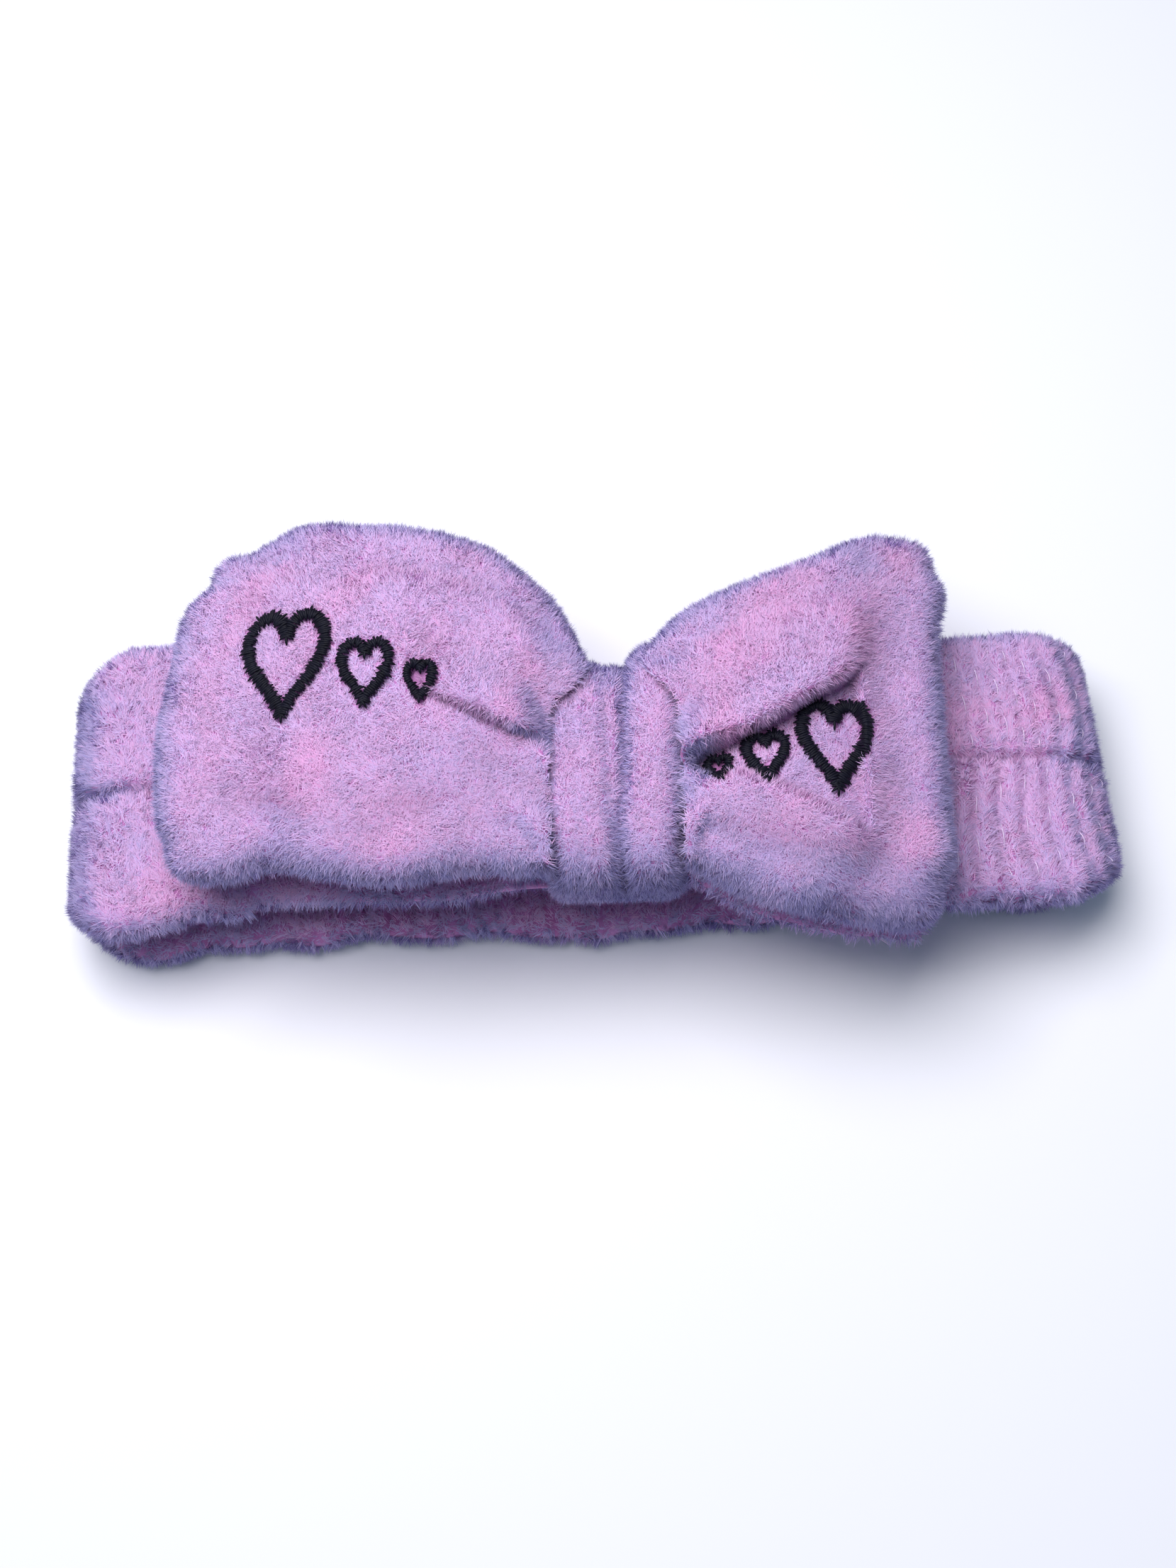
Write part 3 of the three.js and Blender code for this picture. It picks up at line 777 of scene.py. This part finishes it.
# The strap's ends are whipped together underneath.
WHIPS, TACKS = 20, 6
x = np.linspace(knot_low[0] + 1.5, knot_high[0] - 1.5, WHIPS)[:, None]
share = np.linspace(-1, 1, 7)[None]
z = knot_low[2] + 0.8 + 0.5 * share**2
path = np.stack([x + share, KNOT_Y + 2 * share + 0 * x, z + 0 * x], -1)
closing = threads("knot_whipstitches", path, THREAD, PINK_THREAD)
on_front(closing, "knot_closing_seam")

# The bow's pinched middle is a bundle of pleats with thread wound round it.
WAIST_Z = (waist_low[2] + waist_high[2]) / 2
WAIST_WIDE = (waist_high[1] - waist_low[1]) / 2 - 0.8
WAIST_TALL = (waist_high[2] - waist_low[2]) / 2 - 0.8
WINDINGS = 7
BOUND_HALF = 2.0
BOUND_DEPTH = 1.6


def bundle(t, x, swell=0.0):
    """The bow's middle, t round it and x along it, drawn in where the thread is wound."""
    c, s = np.cos(t), np.sin(t)
    rim = (np.abs(c) ** 3 + np.abs(s) ** 3) ** (-1 / 3)
    bound = BOUND_DEPTH * np.exp(-(((x - KNOT_X) / 3.2) ** 4))
    pleats = 0.35 * np.cos(17 * t) * (1 - bound / BOUND_DEPTH)
    y = KNOT_Y + (WAIST_WIDE - bound + pleats + swell) * rim * c
    z = WAIST_Z + (WAIST_TALL - bound + pleats + swell) * rim * s
    return np.stack([x, y, z], -1)


t, x = np.meshgrid(t_round, np.linspace(waist_low[0], waist_high[0], 50), indexing="ij")
face = bundle(t, x)
middle = shell("bow_middle", face, FABRIC, FLEECE_SKIN, closed=True)
turns = np.linspace(0, 1, 60 * WINDINGS + 1)
wound = bundle(TAU * WINDINGS * turns, KNOT_X + BOUND_HALF * (2 * turns - 1), swell=0.3)
binding = threads("middle_winding", wound[None], 0.28, PINK_THREAD)
y = np.linspace(-16, -4, TACKS)[:, None]
z = front_high[2] + 0.3 + 0.5 * share**2
path = np.stack([-4 + 3 * share + 0 * y, y + share, z + 0 * y], -1)
tack = threads("bow_tack_stitches", path, THREAD, PINK_THREAD)
on_front(middle, "bow_waist")
on_front(binding, "waist_binding")
on_front(tack, "bow_tack")


# ---- Bow loops ----
# top and low are y along the upper and the lower edge, at stations from the knot, 0, to the outer
# edge, 1. edge is how far the outer edge stands out at stations from the lower corner, -1, to the
# upper one, 1. shift draws the upper edge in beside the knot, and tuck is how much higher the back
# panel's lower edge is. gap lies between the panels, puff is how full the front one is, tip_z is
# the back one's height at its outer edge, and sag how far what hangs past the band sinks.
LOOPS = {
    "left": {
        "side": -1,
        "root": knot_low[0] + 0.4,
        "length": 80.5,
        "top": (
            [0, 0.06, 0.12, 0.18, 0.31, 0.44, 0.61, 0.71, 0.81, 0.925, 1],
            [12.5, 27, 33.5, 38.3, 44.2, 46.8, 47.8, 49.1, 49.6, 47.0, 43.8],
        ),
        "low": (
            [0, 0.06, 0.2, 0.32, 0.44, 0.56, 0.63, 0.7, 0.825, 0.93, 1],
            [-31.5, -31.9, -31.6, -32.8, -33.3, -32, -30.8, -29.4, -28.4, -30.3, -30.5],
        ),
        "edge": ([-1, -0.85, -0.6, -0.2, 0.3, 0.7, 0.85, 1], [0.5, 2, 3, 3, 0.4, -2, -3.4, -7.8]),
        "shift": 8.5,
        "tuck": 4.5,
        "gap": 6.5,
        "puff": 11.0,
        "tip_z": 42.0,
        "sag": 0.0,
    },
    "right": {
        "side": 1,
        "root": knot_high[0] - 0.4,
        "length": 57.0,
        "top": (
            [0, 0.06, 0.13, 0.22, 0.32, 0.515, 0.66, 0.81, 0.95, 1],
            [14, 21, 25.8, 29, 31.4, 36.9, 40.5, 43.5, 44.8, 44.3],
        ),
        "low": ([0, 0.06, 0.33, 0.51, 0.73, 0.9, 1], [-30.3, -32.3, -39, -41, -42.2, -42.6, -43]),
        "edge": ([-1, -0.85, -0.5, 0, 0.5, 0.75, 0.88, 1], [-3, -1, -0.8, -1, 0, 1.5, 1.8, 0]),
        "shift": 8.0,
        "tuck": -0.5,
        "gap": 6.5,
        "puff": 10.0,
        "tip_z": 41.0,
        "sag": 6.0,
    },
}
SAG_FROM, SAG_OVER = -HALF_HEIGHT + 5, 15.0
ROOT_Z = front_high[2] + 4.4  # middle of the back panel where it leaves the knot


# Each of these gives how far the cloth is raised over x, y, and how far it leans over along y.
def left_folds(x, y):
    """The upper half of the left loop bulges over a crease that runs out of the knot."""
    t = (KNOT_X - KNOT_HALF - x) / 22  # 0 at the knot and 1 at the crease's outer end
    crease = -4 + 8.3 * t + 60 * np.clip(t - 1, 0, 1) ** 2
    above = y - crease
    over = np.clip(above, 0, 99)
    height = np.clip(1 - t / 1.7, 0, 1) * smooth((t + 0.2) / 0.5)
    lobe = smooth(above / 1.6 + 0.5) * np.exp(-over / 20)
    valley = np.exp(-((above / 2.2) ** 2))
    lean = smooth(above / 1.6 + 0.5) * np.exp(-over / 7)
    return height * (7.0 * lobe - 2.5 * valley), -2.6 * height * lean


def right_folds(x, y):
    """A pocket opens out of the knot, under a rolled upper lip and beside a flat outer hem."""
    t = x - 22  # distance out from the knot's side
    above = y - (-8 + 0.53 * t)
    below = -8 - 0.53 * t - 5 * np.exp(-((t / 9) ** 2)) * smooth(t / 3 + 1) - y
    fade = smooth((t + 10) / 12) * smooth((46 - t) / 14)
    over, under = np.clip(above, 0, 99), np.clip(-above, 0, 99)
    step = smooth(above / 1.4 + 0.5)
    inside = (1 - step) * smooth(0.5 - below / 5) * smooth((60.5 - x) / 3 + 0.5)
    depth = 2.6 + 5.0 * np.exp(-under / 7) * fade
    lip = 3.6 * step * np.exp(-((over / 11) ** 2)) * fade
    fold = 1.3 * smooth(below / 4 + 0.5) * np.exp(-((np.clip(below, 0, 99) / 16) ** 2)) * fade
    return lip + fold - depth * inside, -3.4 * smooth(t / 14) * fade * step * np.exp(-over / 8)


FOLDS = {"left": left_folds, "right": right_folds}
# From a panel's middle to its upper and lower skin.
PANEL_HALF = {"front": {1: 6.0, -1: 2.4}, "back": {1: 2.4, -1: 2.6}}
ROLL = 7.5  # how wide the rolled edges are
ROLL_STEPS, LENGTH_STEPS, HEIGHT_STEPS = 6, 96, 110


def loop_xy(loop, u, v, tuck=0.0):
    """x and y at a share u of the loop's length and v, -1 to 1, of its height."""
    low, high = across(*loop["low"], u) + tuck, across(*loop["top"], u)
    y = mix(low, high, (v + 1) / 2)
    drawn = loop["shift"] * smooth((v - 0.45) / 0.55) * (1 - u) ** 3
    x = loop["root"] + loop["side"] * ((loop["length"] + across(*loop["edge"], v)) * u - drawn)
    return x, y


def sag_at(loop, y):
    """How much lower the loop lies where it hangs past the band."""
    return loop["sag"] * np.clip((SAG_FROM - y) / SAG_OVER, 0, 2) ** 1.4


def back_z(loop, u):
    """Height of the middle of the back panel."""
    return mix(ROOT_Z, loop["tip_z"], u)


def front_z(name, loop, u, v, x, y):
    """Height of the middle of the front panel, and y once its folds lean over."""
    # The panel is fullest halfway out and lies level again at its hem.
    out = np.where(u < 0.5, u, 1 - 0.5 * (2 * (1 - np.minimum(u, 1))) ** 1.8)
    belly = np.sin(math.pi * (out * 0.85 + 0.07)) ** 0.7
    z = back_z(loop, u) + loop["gap"] - 1.4 + loop["puff"] * belly * (1 - 0.45 * v * v)
    raised, leaned = FOLDS[name](x, y)
    z = z + raised
    # Small pleats fan out from the knot, and the cloth is never quite even further out.
    pleats = np.cos(9 * v + 3 * u) * np.exp(-u * 9) * 1.3
    return z + pleats + 0.5 * wander(np.stack([x, y, 0 * x], -1), 28, 17), y + leaned


def loop_grid(name, loop, panel, direction):
    """A grid over one skin of a panel, rolled over at its three free edges.

    direction is 1 for the skin on the panel's upper side and -1 for the one on its lower side.
    """
    quarter = np.linspace(0, 1, ROLL_STEPS + 1)[1:] * math.pi / 2
    rolled = np.ones(ROLL_STEPS)
    u_flat = np.linspace(0, 1, LENGTH_STEPS)
    v_flat = np.linspace(-1, 1, HEIGHT_STEPS)
    u = np.concatenate([u_flat, rolled])
    u_roll = np.concatenate([0 * u_flat, quarter])
    v = np.concatenate([-rolled, v_flat, rolled])
    v_roll = np.concatenate([-quarter[::-1], 0 * v_flat, quarter])
    u, v = np.meshgrid(u, v, indexing="ij")
    u_roll, v_roll = np.meshgrid(u_roll, v_roll, indexing="ij")
    x, y = loop_xy(loop, u, v, loop["tuck"] if panel == "back" else 0.0)
    if panel == "back":
        z = back_z(loop, u)
    else:
        z, y = front_z(name, loop, u, v, x, y)
    reach = ROLL * smooth(u * 12)
    out, up = np.sin(u_roll), np.sin(v_roll)
    round_corner = np.maximum(1, np.hypot(out, up))
    x = x + loop["side"] * ROLL * (out / round_corner - smooth((u - 0.5) / 0.5))
    y = y + reach * (up / round_corner - np.sign(v) * smooth((np.abs(v) - 0.5) / 0.5))
    z = z + direction * PANEL_HALF[panel][direction] * np.cos(u_roll) * np.cos(v_roll)
    place = np.stack([x, y, 0 * x], -1)
    wave = smooth((np.abs(v) - 0.7) / 0.3) * smooth(u * 3)
    z = z + 0.6 * wave * wander(place, 20, 31) - sag_at(loop, y)
    return np.stack([x, y, z], -1)


def surface_height(name, loop):
    """A function that gives the front skin's height over points x, y."""
    flat = loop_grid(name, loop, "front", 1)[:LENGTH_STEPS, ROLL_STEPS:-ROLL_STEPS].reshape(-1, 3)

    def height(x, y):
        out = np.empty(len(x))
        for i, (px, py) in enumerate(zip(x, y)):
            far = (flat[:, 0] - px) ** 2 + (flat[:, 1] - py) ** 2
            near = np.argpartition(far, 4)[:4]
            weight = 1 / (far[near] + 1e-4)
            out[i] = (flat[near, 2] * weight).sum() / weight.sum()
        return out

    return height


# ---- Embroidered hearts ----
STROKE = 2.9
SATIN_STEP, SATIN_THREAD = 0.5, 0.31
SATIN_POINTS = 7
SATIN_HEIGHT = 2.1  # over the skin, so that it shows through the pile
HEARTS = {
    "left": {"x": -53, "y": 12, "size": 20, "tilt": -0.04},
    "right": {"x": 41.5, "y": -8, "size": 17, "tilt": 0.0},
}
# Each heart's place outwards and upwards, in large hearts' widths, and its scale.
HEART_ROW = [("large", 0.59, 0, 1), ("medium", -0.285, -0.14, 0.65), ("small", -0.875, -0.24, 0.43)]
HEART_TALL = 1.45
FINEST_STROKE = 0.62  # of the usual stroke, on the smallest heart


def heart_line(place, side, out, up, scale, count):
    """Points along the middle of a heart's stroke."""
    t = np.linspace(0, TAU, count, endpoint=False) + 0.01
    size = place["size"] * scale - STROKE
    x = size * 16 * np.sin(t) ** 3 / 32
    y = 13 * np.cos(t) - 5 * np.cos(2 * t) - 2 * np.cos(3 * t) - np.cos(4 * t)
    y = HEART_TALL * size * (y + 2.5) / 30
    x = x + side * out * place["size"]
    y = y + up * place["size"]
    c, s = math.cos(place["tilt"]), math.sin(place["tilt"])
    return np.stack([place["x"] + c * x - s * y, place["y"] + s * x + c * y], -1)


def satin(name, line, stroke, height, rng):
    """Satin stitch: threads laid side by side across a closed line on the loop's face."""
    closed = np.concatenate([line, line[:1]])
    lengths = np.append(0, np.cumsum(np.linalg.norm(np.diff(closed, axis=0), axis=1)))
    count = int(lengths[-1] / SATIN_STEP)
    s = np.arange(count) * lengths[-1] / count
    middle = np.stack([np.interp(s, lengths, closed[:, k]) for k in (0, 1)], -1)
    ahead = np.roll(middle, -2, 0) - np.roll(middle, 2, 0)
    normal = unit(np.stack([-ahead[:, 1], ahead[:, 0]], -1))
    normal += rng.normal(0, 0.1, normal.shape)
    share = np.linspace(-1, 1, SATIN_POINTS)
    half = stroke / 2 + rng.normal(0, 0.24, (count, 2))
    reach = np.where(share[None] < 0, half[:, :1], half[:, 1:]) * share[None]
    path = middle[:, None] + normal[:, None] * reach[..., None]
    ground = height(path[..., 0].ravel(), path[..., 1].ravel()).reshape(count, SATIN_POINTS)
    crown = SATIN_HEIGHT * np.sqrt(1 - 0.55 * share**2)
    z = ground + crown + rng.normal(0, 0.1, (count, 1))
    return threads(name, np.concatenate([path, z[..., None]], -1), SATIN_THREAD, BLACK_THREAD)


# ---- The loops' pieces ----
SEAM_INSET, SEAM_RADIUS = 6.5, 2.3
SEAM_TURNS = 70
# Each layer's panel, side, name and strands for each square millimetre.
LAYERS = [
    ("front", 1, "front_face", 21.0),
    ("front", -1, "front_reverse", 6.0),
    ("back", 1, "back_reverse", 6.0),
    ("back", -1, "back_face", 7.0),
]


def on_loop(piece, node_name):
    """Fixes a piece of a loop in place, and hides node_name, the CAD node that it stands for."""
    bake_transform(piece)
    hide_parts(node_name)


def clear_of(strokes):
    """A function of points that gives 1 where they are clear of the embroidery, and 0 under it."""

    def clear(points):
        far = np.full(len(points), 99.0)
        for start in range(0, len(strokes), 40):
            chunk = strokes[start : start + 40]
            gap = points[:, None, :2] - chunk[None]
            far = np.minimum(far, np.sqrt((gap**2).sum(-1)).min(1))
        return np.where(far < STROKE / 2 + 0.1, 0.0, 1.0)

    return clear


for name, loop in LOOPS.items():
    side = loop["side"]
    height = surface_height(name, loop)
    rng = np.random.default_rng(90 + side)
    strokes, hearts = [], []
    for label, out, up, scale in HEART_ROW:
        line = heart_line(HEARTS[name], side, out, up, scale, 160)
        strokes.append(line)
        stroke = STROKE * mix(FINEST_STROKE, 1.0, smooth((scale - 0.4) / 0.5))
        stitched = satin(f"{name}_heart_{label}", line, stroke, height, rng)
        on_loop(stitched, f"{name}_motif_heart_{label}")
        hearts.append(stitched)
    off_strokes = clear_of(np.concatenate(strokes))

    for panel, direction, node_name, thick in LAYERS:
        face = loop_grid(name, loop, panel, direction)
        if direction * side < 0:
            face = face[:, ::-1]
        skin = shell(f"{name}_{node_name}_skin", face, FABRIC, FLEECE_SKIN)
        top = node_name == "front_face"
        tufts = pile(f"{name}_{node_name}_pile", face, thick, keep=off_strokes if top else None,
                     seed=100 + 10 * side + len(node_name) + direction)
        for piece in (skin, tufts):
            on_loop(piece, f"{name}_loop_{node_name}")

    # A rolled seam joins the two panels inside their outer end, and overlocking wraps it.
    v = np.linspace(-0.8, 0.8, 6 * SEAM_TURNS + 1)
    x, y = loop_xy(loop, np.ones_like(v), v)
    front, _ = front_z(name, loop, np.ones_like(v), v, x, y)
    z = (back_z(loop, np.ones_like(v)) + front) / 2 - sag_at(loop, y)
    middle = np.stack([x - side * SEAM_INSET, y, z], -1)
    roll = threads(f"{name}_loop_seam_roll", middle[None, ::6], SEAM_RADIUS, FLEECE_SKIN, sides=12)
    turn = TAU * SEAM_TURNS * np.linspace(0, 1, len(v))
    around = np.stack([np.cos(turn), 0 * turn, np.sin(turn)], -1)
    stitched = (middle + (SEAM_RADIUS + 0.1) * around)[None]
    seam = threads(f"{name}_loop_overlock", stitched, THREAD, PINK_THREAD)
    on_loop(roll, f"{name}_loop_edge_seam")
    on_loop(seam, f"{name}_loop_edge_seam")


# ---- Camera, light and floor ----
VIEW_ELEVATION, VIEW_ROLL = 71.0, 1.5
FOCAL_LENGTH = 49.9
LOOKED_AT = (-0.9, -0.7, 20)
VIEW_DISTANCE = 0.5  # this, the floor and the light are in metres
FLOOR_HALF = 3.0
KEY_PLACE, KEY_AIM = (-0.15, 0.1, 0.72), (0, 0, 0.03)
SOFTBOX, KEY_POWER = 0.5, 6.9

target = Vector(LOOKED_AT) * MM
elevation = math.radians(VIEW_ELEVATION)
back = Vector((0, -math.cos(elevation), math.sin(elevation)))
camera = bpy.data.objects.new("camera", bpy.data.cameras.new("camera"))
bpy.context.scene.collection.objects.link(camera)
camera.location = target + back * VIEW_DISTANCE
rotation = (-back).to_track_quat("-Z", "Y").to_matrix()
camera.rotation_euler = (rotation @ Matrix.Rotation(math.radians(-VIEW_ROLL), 3, "Z")).to_euler()
camera.data.lens = FOCAL_LENGTH
camera.data.sensor_width = 36
camera.data.clip_start = 0.01
bpy.context.scene.camera = camera

floor_mesh = bpy.data.meshes.new("floor")
corners = [(x * FLOOR_HALF, y * FLOOR_HALF, 0) for x, y in [(-1, -1), (1, -1), (1, 1), (-1, 1)]]
floor_mesh.from_pydata(corners, [], [(0, 1, 2, 3)])
floor = bpy.data.objects.new("floor", floor_mesh)
bpy.context.scene.collection.objects.link(floor)
paper, paper_shader = new_material("pale_floor", 0.9)
paper_shader.inputs["Base Color"].default_value = srgb(244, 244, 247)
floor_mesh.materials.append(paper)
floor.location.z = -0.6 * MM  # just under the pile that lies on it

key = bpy.data.lights.new("key_light", "AREA")
key.shape = "RECTANGLE"
key.size, key.size_y = SOFTBOX, SOFTBOX
key.energy = KEY_POWER
key.color = (0.985, 0.96, 1.0)
softbox = bpy.data.objects.new("key_light", key)
bpy.context.scene.collection.objects.link(softbox)
softbox.location = KEY_PLACE
softbox.rotation_euler = (Vector(KEY_AIM) - Vector(KEY_PLACE)).to_track_quat("-Z", "Y").to_euler()

world = bpy.data.worlds.new("studio")
bpy.context.scene.world = world
world.use_nodes = True
world.node_tree.nodes["Background"].inputs["Color"].default_value = (0.55, 0.76, 1.0, 1)
world.node_tree.nodes["Background"].inputs["Strength"].default_value = 0.24
bpy.context.scene.view_settings.view_transform = "Standard"
